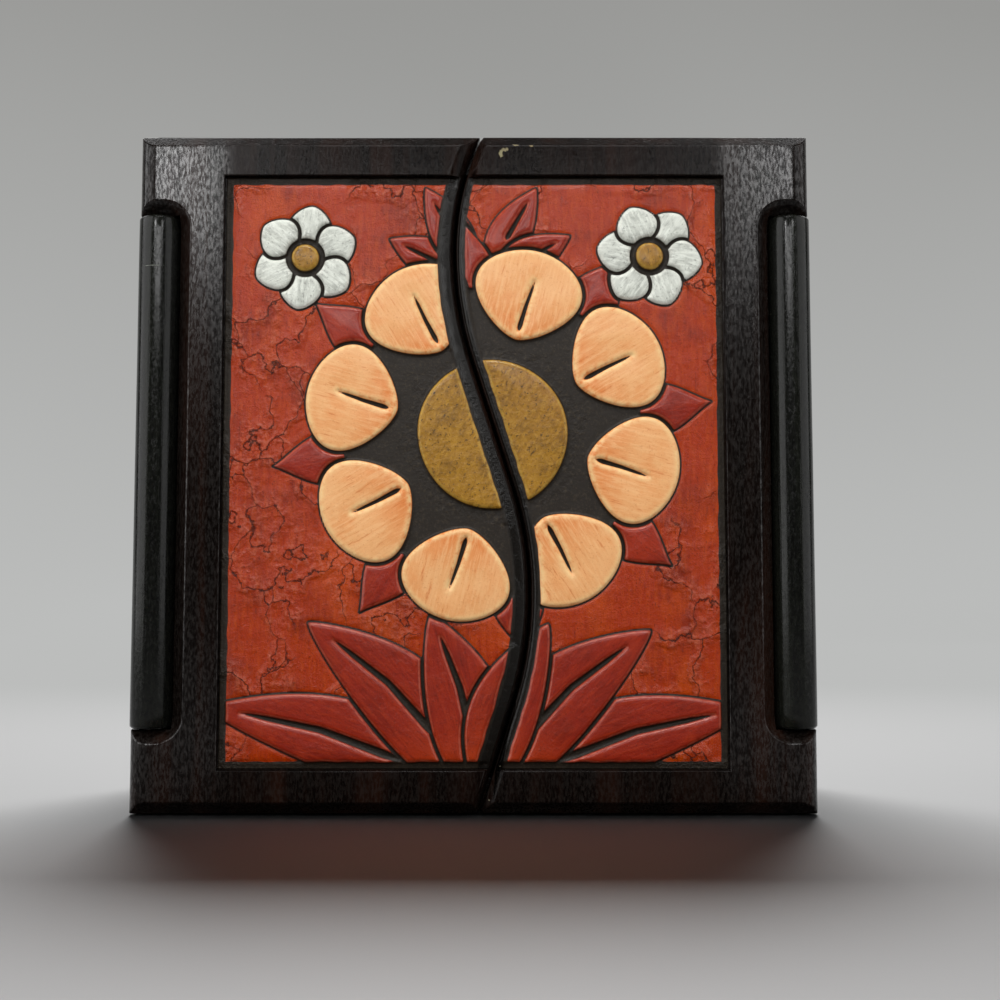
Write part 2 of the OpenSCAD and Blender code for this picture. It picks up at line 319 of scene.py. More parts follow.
def paint(name, look):
    f = Finish(name)
    spot, stroke = f.place(), f.attribute("stroke", "Vector")
    inside, flank = f.attribute("inside"), f.attribute("flank")
    along = f.scaled(stroke, (look["strokeLength"], 1, 1))
    brush = f.noise(along, look["strokes"], 4, 0.65, 0.3)
    blot = f.noise(spot, look["blots"], 5, 0.6)
    flush = f.noise(f.scaled(spot, (1, 1, 0.5)), look["blots"] * 0.8, 5, 0.65)
    dab = f.noise(spot, look["dabs"], 4, 0.62)
    grain = f.noise(spot, look["specks"], 3, 0.7)
    outward = f.step(f.attribute("share"), *look["fade"])
    colour = f.mix(outward, tone(look["root"]), tone(look["tip"]))
    layers = [(blot, 0.45, 0.68, "blotchy", "blot"), (flush, 0.5, 0.66, "flushed", "flush"),
              (brush, 0.44, 0.66, "streaky", "streak"), (brush, 0.4, 0.3, "scratchy", "scratch"),
              (grain, 0.57, 0.68, "speckle", "speck")]
    for pattern, low, high, strength, shade in layers:
        colour = f.mix(f.step(pattern, low, high) * look[strength], colour, tone(look[shade]))
    rim = f.step(inside, 0.05, 0.3) * (1 - f.step(inside, 0.4, look["rimWidth"]))
    ragged = f.step(f.noise(spot, paintTraces["ragged"], 3, 0.6), 0.3, 0.6)
    colour = f.mix(rim * ragged * look["rimmed"], colour, tone(look["rim"]))
    height = brush * paintTraces["brushHeight"] + blot * look["swell"]
    height = height + dab * look["dabbed"] + grain * look["grainy"]
    if look["cracksPerMetre"]:
        colour, height = crackle(f, spot, look, dab, colour, height)
    onPaint = f.step(inside, -0.1, 0.1)
    rubbed = f.step(grain, 0.5, 0.7) * ground["rubbed"]
    bare = f.mix(rubbed, tone(ground["tone"]), tone(ground["rub"]))
    bare = f.mix(flank * ground["flankTone"], bare, tone(ground["flank"]))
    rough = ground["rough"] - (ground["rough"] - ground["flankRough"]) * flank
    painted = look["rough"] + paintTraces["blotRough"] * blot
    painted = painted + paintTraces["grainRough"] * grain
    return f.surface(Base_Color=f.mix(onPaint, bare, colour), Coat_Weight=onPaint * look["coat"],
                     Roughness=rough + (painted - rough) * onPaint,
                     Coat_Roughness=ground["coatRough"], Specular_IOR_Level=ground["shine"],
                     Normal=f.bump(height, look["relief"]))


paints = {
    # The field's lip tone is a painted highlight, the pinkish sheen on the cracks' raised lips
    "field": {"root": "962b03", "tip": "962b03", "fade": (0, 1), "streak": "b24506",
              "blot": "701d06", "flush": "b04104", "scratch": "5c1804", "rim": "b03e0c",
              "rimWidth": 1.0, "speck": "561604", "lipSheen": "b4644a", "crackTone": "2c1008",
              "strokes": 7.0, "strokeLength": 0.16, "blots": 60, "dabs": 620, "specks": 2200,
              "streaky": 0.35, "scratchy": 0.45, "blotchy": 0.75, "flushed": 0.6, "speckle": 0.8,
              "rimmed": 0.3, "rough": 0.12, "swell": 6.0, "dabbed": 1.8, "grainy": 1.3,
              "relief": 0.1 * mm, "coat": 0.02, "cracksPerMetre": 52, "crackStretch": 0.7},
    "petal": {"root": "d27430", "tip": "e0a36a", "fade": (0.5, 0.8), "streak": "e8b680",
              "blot": "d98a4c", "flush": "e6b07a", "scratch": "c06428", "rim": "e8c68c",
              "rimWidth": 2.4, "speck": "b86a34", "strokes": 1.1, "strokeLength": 0.12,
              "blots": 110, "dabs": 520, "specks": 1600, "streaky": 0.5, "scratchy": 0.6,
              "blotchy": 0.5, "flushed": 0.4, "speckle": 0.35, "rimmed": 0.75, "rough": 0.32,
              "swell": 1.5, "dabbed": 1.0, "grainy": 0.5, "relief": 0.09 * mm, "coat": 0.08,
              "cracksPerMetre": 0},
    "heart": {"root": "92681c", "tip": "8a5f1c", "fade": (0, 1), "streak": "ac802a",
              "blot": "5a3d16", "flush": "a5771f", "scratch": "33220f", "rim": "b99440",
              "rimWidth": 1.2, "speck": "2c1e0e", "strokes": 0.9, "strokeLength": 0.5,
              "blots": 150, "dabs": 600, "specks": 900, "streaky": 0.5, "scratchy": 0.7,
              "blotchy": 0.6, "flushed": 0.4, "speckle": 0.85, "rimmed": 0.6, "rough": 0.26,
              "swell": 1.5, "dabbed": 1.4, "grainy": 0.7, "relief": 0.14 * mm, "coat": 0.15,
              "cracksPerMetre": 0},
    "blossom": {"root": "8f9089", "tip": "c4c7bd", "fade": (0.25, 0.6), "streak": "dcdfd5",
                "blot": "8c8e86", "flush": "d2d5cb", "scratch": "6d6f68", "rim": "dfe0d6",
                "rimWidth": 1.4, "speck": "5c5c56", "strokes": 1.2, "strokeLength": 0.18,
                "blots": 230, "dabs": 700, "specks": 1300, "streaky": 0.8, "scratchy": 0.6,
                "blotchy": 0.55, "flushed": 0.4, "speckle": 0.5, "rimmed": 0.5, "rough": 0.3,
                "swell": 1.2, "dabbed": 1.2, "grainy": 0.8, "relief": 0.14 * mm, "coat": 0.1,
                "cracksPerMetre": 0},
    "leaf": {"root": "ac3a0d", "tip": "841f0d", "fade": (0.02, 0.5), "streak": "9c3010",
             "blot": "681707", "flush": "982c0c", "scratch": "561205", "rim": "b05a42",
             "rimWidth": 0.8, "speck": "480f05", "strokes": 1.2, "strokeLength": 0.15,
             "blots": 90, "dabs": 520, "specks": 1900, "streaky": 0.5, "scratchy": 0.45,
             "blotchy": 0.5, "flushed": 0.5, "speckle": 0.5, "rimmed": 0.55, "rough": 0.2,
             "swell": 3.0, "dabbed": 1.3, "grainy": 0.9, "relief": 0.1 * mm, "coat": 0.15,
             "cracksPerMetre": 0},
}

woodFinish = stainedWood("doorWood", doorWood)
boardFinish = stainedWood("boardWood", boardWood)
shelfFinish = stainedWood("shelfWood", shelfWood)
backFinish = stainedWood("backWood", backWood)
postFinish = stainedWood("postWood", postWood)
steelFinish = dullSteel("steel", steelWire)
paintFinishes = {kind: paint(kind + "Paint", look) for kind, look in paints.items()}
print("finishes made:", len(bpy.data.materials))


# The carved design: closed outlines in millimetres on the front of the doors, X right and Z up
outlineSteps = {"blade": 56, "disc": 72, "cut": 24}


def turned(centre, turn, reach, side):
    # What lies reach from a centre and side to the right. Turn is in degrees from straight up.
    a = math.radians(turn)
    return (centre[0] + reach * math.sin(a) + side * math.cos(a),
            centre[1] + reach * math.cos(a) - side * math.sin(a))


def bladeOutline(centre, turn, near, far, width, blunt=0.7, bend=0.0, widest=0.85):
    # A petal or leaf that points away from a centre
    share = (1 - np.cos(np.linspace(0, np.pi, outlineSteps["blade"]))) / 2
    half = width / 2 * np.sin(np.pi * share**widest) ** blunt
    middle = bend * np.sin(np.pi * share)
    along = near + (far - near) * share
    side = np.concatenate([half + middle, (middle - half)[::-1]])
    reach = np.concatenate([along, along[::-1]])
    return np.stack(turned(centre, turn, reach, side), 1)


def discOutline(centre, radius, wobble=0.0, seed=1):
    turn = np.linspace(0, 2 * np.pi, outlineSteps["disc"], endpoint=False)
    draw = np.random.RandomState(seed)
    r = radius + sum(wobble / k * np.sin(k * turn + draw.uniform(0, 6)) for k in (2, 3, 5))
    return np.stack([centre[0] + r * np.sin(turn), centre[1] + r * np.cos(turn)], 1)


def gougeOutline(points, width):
    # A gouge cut along a few points, round at its deep end and drawn out to nothing at the other
    p = np.array(points, float)
    run = np.concatenate([[0], np.cumsum(np.hypot(*np.diff(p, axis=0).T))])
    t = np.linspace(0, run[-1], outlineSteps["cut"])
    line = np.stack([np.interp(t, run, p[:, 0]), np.interp(t, run, p[:, 1])], 1)
    way = np.gradient(line, axis=0)
    way /= np.hypot(*way.T)[:, None]
    share = t / run[-1]
    roundEnd = np.sqrt(np.clip(share * 6, 0, 1))
    thinEnd = np.sqrt(np.clip((1 - share) * 9, 0.02, 1))
    half = width / 2 * roundEnd * thinEnd * (0.45 + 0.55 * share)
    side = np.stack([way[:, 1], -way[:, 0]], 1) * half[:, None]
    return np.concatenate([line + side, (line - side)[::-1]])


# A leaf of the fan: turn, reach, width and bend. One of the crest: turn, reach and width.
# Cuts are gouged at these shares of a shape's reach.
fan = {"foot": (2, 4), "start": 2, "blunt": 0.8, "cuts": (0.88, 0.6, 0.3), "cutWidth": 2.6,
       "leaves": [(-71, 84, 22, 5), (71, 82, 22, -5), (-44, 72, 24, 5), (45, 70, 24, -5),
                  (-15, 56, 22, 3), (21, 55, 20, -3)]}
crest = {"foot": (2, 156), "start": 4, "blunt": 0.9, "cuts": (0.84, 0.45), "cutWidth": 1.6,
         "leaves": [(-64, 30, 12), (-30, 33, 12), (30, 33, 12), (62, 30, 12)]}
flower = {"centre": (5.5, 111), "heart": 22, "ring": 28, "petals": 8, "firstTurn": 14,
          "reach": 56, "petalStart": 28.8, "petalWidth": 32, "petalBlunt": 0.5, "widest": 1.25,
          "cuts": (0.84, 0.7, 0.56), "cutSway": (1.2, 0.4, 0), "cutWidth": 1.5, "cleared": 44,
          "sepalStart": 36, "sepalReach": 65, "sepalWidth": 15, "sepalBlunt": 1.2}
# The small flowers' place, size and first turn, and the parts' lengths as shares of the size
blossoms = [((-50, 163.5), 15.5, 8), ((52, 164), 15.5, 38)]
blossomParts = {"petals": 6, "cleared": 0.6, "start": 0.3, "width": 0.78, "blunt": 0.6,
                "ring": 0.38, "heart": 0.26}


def carvedDesign():
    # From the bottom layer up: kind, outline, centre and turn of the brush strokes, and reach
    shapes = []

    def add(kind, outline, centre, turn=0, reach=1):
        shapes.append((kind, outline, centre, turn, reach))

    def gouge(foot, turn, reach, shares, width, bend=0, sway=(0, 0, 0)):
        points = [turned(foot, turn, reach * share, bend * math.sin(math.pi * share) + side)
                  for share, side in zip(shares, sway)]
        add("cut", gougeOutline(points, width), foot, turn, reach)

    def leaf(plant, turn, reach, width, bend=0):
        foot = plant["foot"]
        outline = bladeOutline(foot, turn, plant["start"], reach, width, plant["blunt"], bend)
        add("leaf", outline, foot, turn, reach)
        gouge(foot, turn, reach, plant["cuts"], plant["cutWidth"], bend)

    for plant in (fan, crest):
        for values in plant["leaves"]:
            leaf(plant, *values)
    middle, petals, reach = flower["centre"], flower["petals"], flower["reach"]
    for k in range(petals):
        turn = 360 * (k + 0.5) / petals + flower["firstTurn"]
        sepal = bladeOutline(middle, turn, flower["sepalStart"], flower["sepalReach"],
                             flower["sepalWidth"], flower["sepalBlunt"])
        add("leaf", sepal, middle, turn, flower["sepalReach"])
    add("cut", discOutline(middle, flower["cleared"]), middle)
    for k in range(petals):
        turn = 360 * k / petals + flower["firstTurn"]
        petal = bladeOutline(middle, turn, flower["petalStart"], reach, flower["petalWidth"],
                             flower["petalBlunt"], 0, flower["widest"])
        add("petal", petal, middle, turn, reach)
        gouge(middle, turn, reach, flower["cuts"], flower["cutWidth"], sway=flower["cutSway"])
    add("cut", discOutline(middle, flower["ring"], 0.2, 4), middle)
    add("heart", discOutline(middle, flower["heart"], 0.3, 3), middle, 30, flower["heart"])
    parts = blossomParts
    for k, (place, size, first) in enumerate(blossoms):
        add("cut", discOutline(place, size * parts["cleared"]), place)
        for j in range(parts["petals"]):
            turn = first + 360 / parts["petals"] * j
            petal = bladeOutline(place, turn, size * parts["start"], size,
                                 size * parts["width"], parts["blunt"])
            add("blossom", petal, place, turn, size)
        add("cut", discOutline(place, size * parts["ring"]), place)
        heart = size * parts["heart"]
        add("heart", discOutline(place, heart, 0.1, k), place, 0, heart)
    return shapes


# The relief: a fine sheet over each door's sunk field, in millimetres. A shape is worked out as far
# as beside past its outline, and its brush strokes are strokesApart from the next shape's.
relief = {"cell": 0.42, "stile": 26.0, "rail": 12.8, "floor": 1.96, "gap": 0.3, "ditch": 0.9,
          "slope": 1.5, "fieldDepth": 1.25, "islandDepth": 0.5, "crown": 0.42, "crownReach": 7.0,
          "shoulder": 1.25, "fieldDrop": 0.25, "islandDrop": 0.75, "fieldLine": 0.6,
          "islandLine": 1.1, "wall": 0.45, "ripple": 0.05, "broadRipple": 0.03,
          "ditchRipple": 0.03, "hair": 0.05, "rollWidth": 3.2, "rollDepth": 0.35,
          "wander": 0.25, "beside": 9.0, "strokesApart": 3.7, "fieldStrokes": 8, "edgeDrop": 0.75}
splitEdges = {"left": {"round": 5.0, "paintTo": 4.7, "end": 1.1},
              "right": {"round": 2.5, "paintTo": 2.6, "end": 0.6}}
kinds = ["field", "petal", "heart", "blossom", "leaf"]
# Faint unevenness of the hand: the size of its waves and their seed
waves = {"wander": (2.2, 11), "fine": (3.0, 5), "broad": (9.0, 6), "ditch": (2.0, 9)}
# Where the split is looked for: in the back face, this far from the middle, at this spacing
splitSearch = {"thin": 0.01, "within": 40, "every": 1.0, "smoothed": 3}


def outlineDistance(outline, x, z):
    # Distance to a closed outline, negative inside
    best = np.full(x.shape, 1e9)
    odd = np.zeros(x.shape, bool)
    for (ax, az), (bx, bz) in zip(outline, np.roll(outline, -1, axis=0)):
        ex, ez = bx - ax, bz - az
        t = np.clip(((x - ax) * ex + (z - az) * ez) / (ex * ex + ez * ez + 1e-12), 0, 1)
        best = np.minimum(best, (x - ax - t * ex) ** 2 + (z - az - t * ez) ** 2)
        crosses = (az > z) != (bz > z)
        odd ^= crosses & (x < ax + ex * (z - az) / (ez if ez else 1e-12))
    return np.sqrt(best) * np.where(odd, -1, 1)


def splitLine(door):
    # Where the door's edge stands at each height, from the back of the CAD door, in millimetres
    points = np.array([v.co for v in frame["nodes"][door].data.vertices]) / mm
    back = points[points[:, 1] > points[:, 1].max() - splitSearch["thin"]]
    edge = back[np.abs(back[:, 0]) < splitSearch["within"]]
    edge = edge[np.argsort(edge[:, 2])]
    heights = np.arange(edge[:, 2].min(), edge[:, 2].max(), splitSearch["every"])
    rough = np.interp(heights, edge[:, 2], edge[:, 0])
    half = splitSearch["smoothed"]
    window = np.ones(2 * half + 1) / (2 * half + 1)
    smooth = np.convolve(np.pad(rough, half, mode="edge"), window, mode="valid")
    return lambda z: np.interp(z, heights, smooth)


def lowNoise(x, z, size, seed):
    draw = np.random.RandomState(seed)
    count, total = 6, 0
    for k in range(count):
        a, p, q = draw.uniform(0, 2 * np.pi, 3)
        run = (x * math.cos(a) + z * math.sin(a)) / size
        total = total + np.sin(run * (1 + 0.4 * k) + p + math.sin(q))
    return total / count


class DoorRelief:
    # One door's relief, as a grid of points in rows from its outer edge to the split
    def __init__(self, side):
        low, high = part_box(side + "_door")
        r, sign = relief, -1 if side == "left" else 1
        bottom = low.z / mm + r["rail"] + r["gap"]
        top = high.z / mm - r["rail"] - r["gap"]
        outer = low.x / mm + r["stile"] + r["gap"]
        if side == "right":
            outer = high.x / mm - r["stile"] - r["gap"]
        self.side, self.cut, self.face = side, splitEdges[side], low.y / mm
        edge = splitLine(side + "_door")
        z = np.linspace(bottom, top, int((top - bottom) / r["cell"]) + 1)
        lean = np.gradient(edge(z), z)
        inner = edge(z) + sign * self.cut["end"] / np.cos(np.arctan(lean))
        columns = int(np.abs(inner - outer).mean() / r["cell"])
        self.x = outer + (inner - outer)[:, None] * np.linspace(0, 1, columns + 1)[None, :]
        self.z = np.repeat(z[:, None], columns + 1, 1)
        self.toSplit = sign * (self.x - edge(self.z)) / np.sqrt(1 + lean[:, None] ** 2)
        toRails = np.minimum(self.z - bottom, top - self.z)
        self.toFrame = np.minimum(np.abs(self.x - outer), toRails) + r["gap"]

    def wave(self, name):
        return lowNoise(self.x, self.z, *waves[name])

    def layPaint(self, shapes):
        # From the top layer down, a shape takes the points that nothing above it covers
        r, x, z = relief, self.x, self.z
        beside = r["beside"]
        self.inside = np.full(x.shape, -beside)
        self.kind = np.zeros(x.shape, int)
        self.stroke = np.zeros(x.shape + (3,))
        self.share = np.zeros(x.shape)
        cover = np.full(x.shape, 99.0)

        def take(own, kind, path):
            better = own > self.inside
            self.inside = np.where(better, own, self.inside)
            self.kind = np.where(better, kinds.index(kind), self.kind)
            self.stroke = np.where(better[..., None], np.stack(path, -1), self.stroke)
            return better

        for number, (kind, outline, centre, turn, reach) in reversed(list(enumerate(shapes))):
            low, high = outline.min(axis=0) - beside, outline.max(axis=0) + beside
            near = (x > low[0]) & (x < high[0]) & (z > low[1]) & (z < high[1])
            if not near.any():
                continue
            away = np.full(x.shape, beside)
            away[near] = outlineDistance(outline, x[near], z[near])
            if kind == "cut":
                cover = np.minimum(cover, away)
                continue
            a = math.radians(turn)
            dx, dz = x - centre[0], z - centre[1]
            along = dx * math.sin(a) + dz * math.cos(a)
            across = dx * math.cos(a) - dz * math.sin(a)
            layer = np.full(x.shape, number * r["strokesApart"])
            better = take(np.minimum(-away, cover), kind, [along, across, layer])
            self.share = np.where(better, np.clip(along / reach, 0, 1), self.share)
            cover = np.minimum(cover, away - r["islandLine"])
        field = np.minimum(cover + r["islandLine"] - r["fieldLine"], 30)
        take(field, "field", [z / r["fieldStrokes"], x / r["fieldStrokes"], 0 * x])
        wander = r["wander"] * self.wave("wander")
        toDitch = self.toFrame - r["ditch"] - r["slope"]
        self.inside = np.minimum(self.inside, toDitch + wander)
        self.inside = np.minimum(self.inside, self.toSplit - self.cut["paintTo"] + wander)

    def carve(self):
        # How deep each point lies under the door's face
        r, cut, inside, toSplit = relief, self.cut, self.inside, self.toSplit
        isField = self.kind == 0
        crown = r["crown"] * (1 - np.exp(-np.maximum(inside, 0) / r["crownReach"]))
        top = np.where(isField, r["fieldDepth"], r["islandDepth"] - crown)
        top = top + r["ripple"] * self.wave("fine") + r["broadRipple"] * self.wave("broad")
        roll = 1 - np.clip((self.toFrame - r["ditch"] - r["slope"]) / r["rollWidth"], 0, 1)
        top = top + np.where(isField, r["rollDepth"] * roll**2, 0)
        # Shapes round off at their edges and fall to the ditch in a steep wall
        drop = np.where(isField, r["fieldDrop"], r["islandDrop"])
        t = np.clip(inside / r["shoulder"], 0, 1)
        depth = top + drop * (1 - np.sqrt(1 - (1 - t) ** 2))
        sink = np.clip(-inside / r["wall"], 0, 1)
        sink = sink * sink * (3 - 2 * sink)
        nearSplit = toSplit < cut["paintTo"] + r["hair"]
        uneven = r["floor"] - r["hair"] + r["ditchRipple"] * self.wave("ditch")
        ditch = np.where(nearSplit, depth, uneven)
        depth = depth + (ditch - depth) * sink
        # Along the frame the field rises out of its ditch in a slope
        slope = np.clip((self.toFrame - r["ditch"]) / r["slope"], 0, 1)
        fieldEdge = r["fieldDepth"] + r["rollDepth"] + r["hair"]
        rim = r["floor"] - 0.04 + (fieldEdge - r["floor"]) * slope
        depth = np.where(self.toFrame < r["ditch"] + r["slope"], rim, depth)
        # Along the split the sheet follows the door: rounded on the left, bevelled on the right
        fall = np.clip(cut["round"] - toSplit, 0, cut["round"])
        if self.side == "left":
            fall = np.minimum(fall, cut["round"] - 0.01)
            ball = cut["round"] - np.sqrt(cut["round"] ** 2 - fall**2)
            past = np.clip(cut["paintTo"] - toSplit, 0, 9) / (cut["paintTo"] - cut["end"])
            depth = np.maximum(ball, depth + r["edgeDrop"] * past**2)
        else:
            depth = np.maximum(depth, fall)
        self.depth = np.minimum(depth, r["floor"])

    def makeMesh(self, name):
        # The carved face, walls along its four sides, and a back on the floor of the sunk field
        x, z = self.x, self.z
        count, rows = x.size, len(x)
        points = np.stack([x, self.face + self.depth, z], -1).reshape(-1, 3)
        floor = np.full(rows, self.face + relief["floor"] + 0.02)
        ends = [np.stack([x[:, k], floor, z[:, k]], -1) for k in (0, -1)]

        def corners(values):
            # The values at the four corners of each cell
            four = [values[:-1, :-1], values[:-1, 1:], values[1:, 1:], values[1:, :-1]]
            return np.stack(four, -1).reshape(-1, 4)

        grid = np.arange(count).reshape(x.shape)
        a = count + np.arange(rows)
        b = a + rows
        cells = corners(grid)
        walls = [np.stack([a[1:], a[:-1], grid[:-1, 0], grid[1:, 0]], -1),
                 np.stack([b[:-1], b[1:], grid[1:, -1], grid[:-1, -1]], -1),
                 np.stack([a[:-1], a[1:], b[1:], b[:-1]], -1)]
        faces = np.concatenate([cells] + walls).tolist()
        faces += [grid[k].tolist() + [int(b[k]), int(a[k])] for k in (0, -1)]
        mesh = bpy.data.meshes.new(name)
        mesh.from_pydata((np.concatenate([points] + ends) * mm).tolist(), [], faces)

        flank = np.clip(self.cut["paintTo"] - self.toSplit, 0, 1)
        for label, values, onFloor in (("inside", self.inside, -5), ("stroke", self.stroke, 0),
                                       ("flank", flank, 1), ("share", self.share, 0)):
            values = values.reshape(count, -1)
            whole = np.concatenate([values, np.full((2 * rows, values.shape[1]), onFloor)])
            isVector = values.shape[1] == 3
            made = mesh.attributes.new(label, "FLOAT_VECTOR" if isVector else "FLOAT", "POINT")
            made.data.foreach_set("vector" if isVector else "value", whole.ravel())
        # A cell takes its paint from the corner that lies deepest inside a shape
        for kind in kinds:
            mesh.materials.append(paintFinishes[kind])
        deepest = corners(self.inside).argmax(1)[:, None]
        slots = np.zeros(len(faces), int)
        slots[: len(cells)] = np.take_along_axis(corners(self.kind), deepest, 1).ravel()
        mesh.polygons.foreach_set("material_index", slots)
        mesh.polygons.foreach_set("use_smooth", np.arange(len(faces)) < len(cells))
        shell = bmesh.new()
        shell.from_mesh(mesh)
        bmesh.ops.recalc_face_normals(shell, faces=shell.faces)
        shell.to_mesh(mesh)
        shell.free()
        return mesh


design = carvedDesign()
for side in ("left", "right"):
    carving = DoorRelief(side)
    carving.layPaint(design)
    carving.carve()
    piece = addObject(side + "_relief", carving.makeMesh(side + "_relief"))
    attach(piece, side + "_door")
    print(side, "relief:", len(piece.data.polygons), "faces")

# The wooden pieces again, with their arrises worn round as sandpaper leaves them
softEdges = {"left_door": (woodFinish, "door_wood", 0.4),
             "right_door": (woodFinish, "door_wood", 0.4),
             "left_side": (boardFinish, "case_wood", 0.5),
             "right_side": (boardFinish, "case_wood", 0.5),
             "top_board": (shelfFinish, "case_wood", 0.5),
             "bottom_board": (shelfFinish, "case_wood", 0.5),
             "back_panel": (backFinish, "back_wood", 0.4)}
# Points this close are merged. An arris bends between these angles, beside faces this large.
arrises = {"merged": 0.03 * mm, "flat": 0.5, "bends": 28, "acute": 100, "broad": 1 * mm**2,
           "segments": 3, "flatWeight": 90}


def evaluated(piece):
    # A copy of a piece's mesh with its modifiers applied
    depsgraph = bpy.context.evaluated_depsgraph_get()
    return bpy.data.meshes.new_from_object(piece.evaluated_get(depsgraph))


def softCopy(name, finish, slot, width):
    node = frame["nodes"][name]
    shape = bmesh.new()
    shape.from_mesh(node.data)
    bmesh.ops.remove_doubles(shape, verts=shape.verts, dist=arrises["merged"])
    bmesh.ops.dissolve_limit(shape, angle_limit=math.radians(arrises["flat"]), verts=shape.verts,
                             edges=shape.edges)
    # Wear reaches the outward arrises, not inner corners, holes' rims or acute edges
    weights = shape.edges.layers.float.new("bevel_weight_edge")
    for edge in shape.edges:
        bend = math.degrees(edge.calc_face_angle(0))
        if bend > arrises["bends"]:
            broad = min(face.calc_area() for face in edge.link_faces) > arrises["broad"]
            edge.smooth = edge.is_convex and bend < arrises["acute"] and broad
            edge[weights] = float(edge.smooth)
    mesh = bpy.data.meshes.new(name + "_soft")
    shape.to_mesh(mesh)
    shape.free()
    mesh.polygons.foreach_set("use_smooth", [True] * len(mesh.polygons))
    piece = addObject(name + "_soft", mesh)
    soften = piece.modifiers.new("arrises", "BEVEL")
    soften.width, soften.segments = width * mm, arrises["segments"]
    soften.limit_method, soften.miter_outer = "WEIGHT", "MITER_ARC"
    soften.use_clamp_overlap = False
    flat = piece.modifiers.new("flatFaces", "WEIGHTED_NORMAL")
    flat.weight, flat.keep_sharp = arrises["flatWeight"], True
    baked = evaluated(piece)
    piece.modifiers.clear()
    piece.data = baked
    baked.materials.clear()
    baked.materials.append(finish)
    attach(piece, node["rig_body"])
    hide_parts(name)
    print(name, "softened:", len(baked.polygons), "faces")


for name, values in softEdges.items():
    softCopy(name, *values)

# The hinge posts: turned by hand, so faintly faceted along their length, with worn ends
postShape = {"around": 96, "rows": 26, "chamfer": 0.6, "roundSteps": 4, "endFace": 3.6, "end": 4,
             "facet": 0.025, "wander": 0.03, "waves": 19}


def turnedPost(name, seed):
    low, high = (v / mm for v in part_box(name))
    radius, middle = (high.x - low.x) / 2, (low + high) / 2
    draw = np.random.RandomState(seed)
    s = postShape
    around = np.linspace(0, 2 * np.pi, s["around"], endpoint=False)
    facets = sum(np.cos(k * around + draw.uniform(0, 6)) for k in (4, 5, 7, 9)) / 4
    # Heights of the rings, and how far each is drawn in: end face, rounded arris, shaft
    z, sink = [low.z, low.z], [s["endFace"], s["chamfer"]]
    for t in np.linspace(0, np.pi / 2, s["roundSteps"] + 1)[1:]:
        z.append(low.z + s["chamfer"] * math.sin(t) * 1.2)
        sink.append(s["chamfer"] * (1 - math.sin(t)) ** 1.3)
    shaft = np.linspace(low.z + s["end"], high.z - s["end"], s["rows"])
    z = np.concatenate([z, shaft, (low.z + high.z) - np.array(z[::-1])])
    sink = np.concatenate([sink, np.zeros(s["rows"]), sink[::-1]])
    drift = s["wander"] * np.sin(z / s["waves"] + draw.uniform(0, 6))
    onShaft = (sink < 1)[:, None]
    r = radius - sink[:, None] - s["facet"] * (1 + facets[None, :]) * onShaft / 2
    r = r - np.abs(drift)[:, None]
    x, y = middle.x + r * np.cos(around), middle.y + r * np.sin(around)
    n, rows = len(around), len(z)
    points = np.stack([x, y, np.repeat(z[:, None], n, 1)], -1).reshape(-1, 3) * mm
    faces = [(i * n + k, i * n + (k + 1) % n, (i + 1) * n + (k + 1) % n, (i + 1) * n + k)
             for i in range(rows - 1) for k in range(n)]
    faces += [tuple(range(n))[::-1], tuple(range((rows - 1) * n, rows * n))]
    mesh = bpy.data.meshes.new(name + "_turned")
    mesh.from_pydata(points.tolist(), [], faces)
    mesh.polygons.foreach_set("use_smooth", [True] * len(faces))
    mesh.set_sharp_from_angle(angle=math.radians(50))
    mesh.materials.append(postFinish)
    post = addObject(name + "_turned", mesh)
    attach(post, "case")
    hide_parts(name)


turnedPost("left_post", 4)
turnedPost("right_post", 9)
print("posts turned")

# The nails of the back panel: one nail, set at each place by Geometry Nodes. Lengths are in
# millimetres, and perSide nails stand along each side.
nail = {"Head radius": 1.25, "Crown radius": 0.7, "Head height": 0.7, "Shank radius": 0.6}
nailRow = {"perSide": 3, "fromEdge": 1.3, "shankDrop": 0.2}


def nailPlaces():
    low, high = (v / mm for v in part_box("back_nails"))
    middle = (low.z + high.z) / 2
    across, up = high.x - nailRow["fromEdge"], high.z - middle - nailRow["fromEdge"]
    places = []
    for k in range(nailRow["perSide"]):
        share = 2 * (k + 1) / (nailRow["perSide"] + 1) - 1
        for side in (-1, 1):
            places.append((side * across, high.y, middle + share * up))
            places.append((share * across, high.y, middle + side * up))
    return places, high.y - low.y


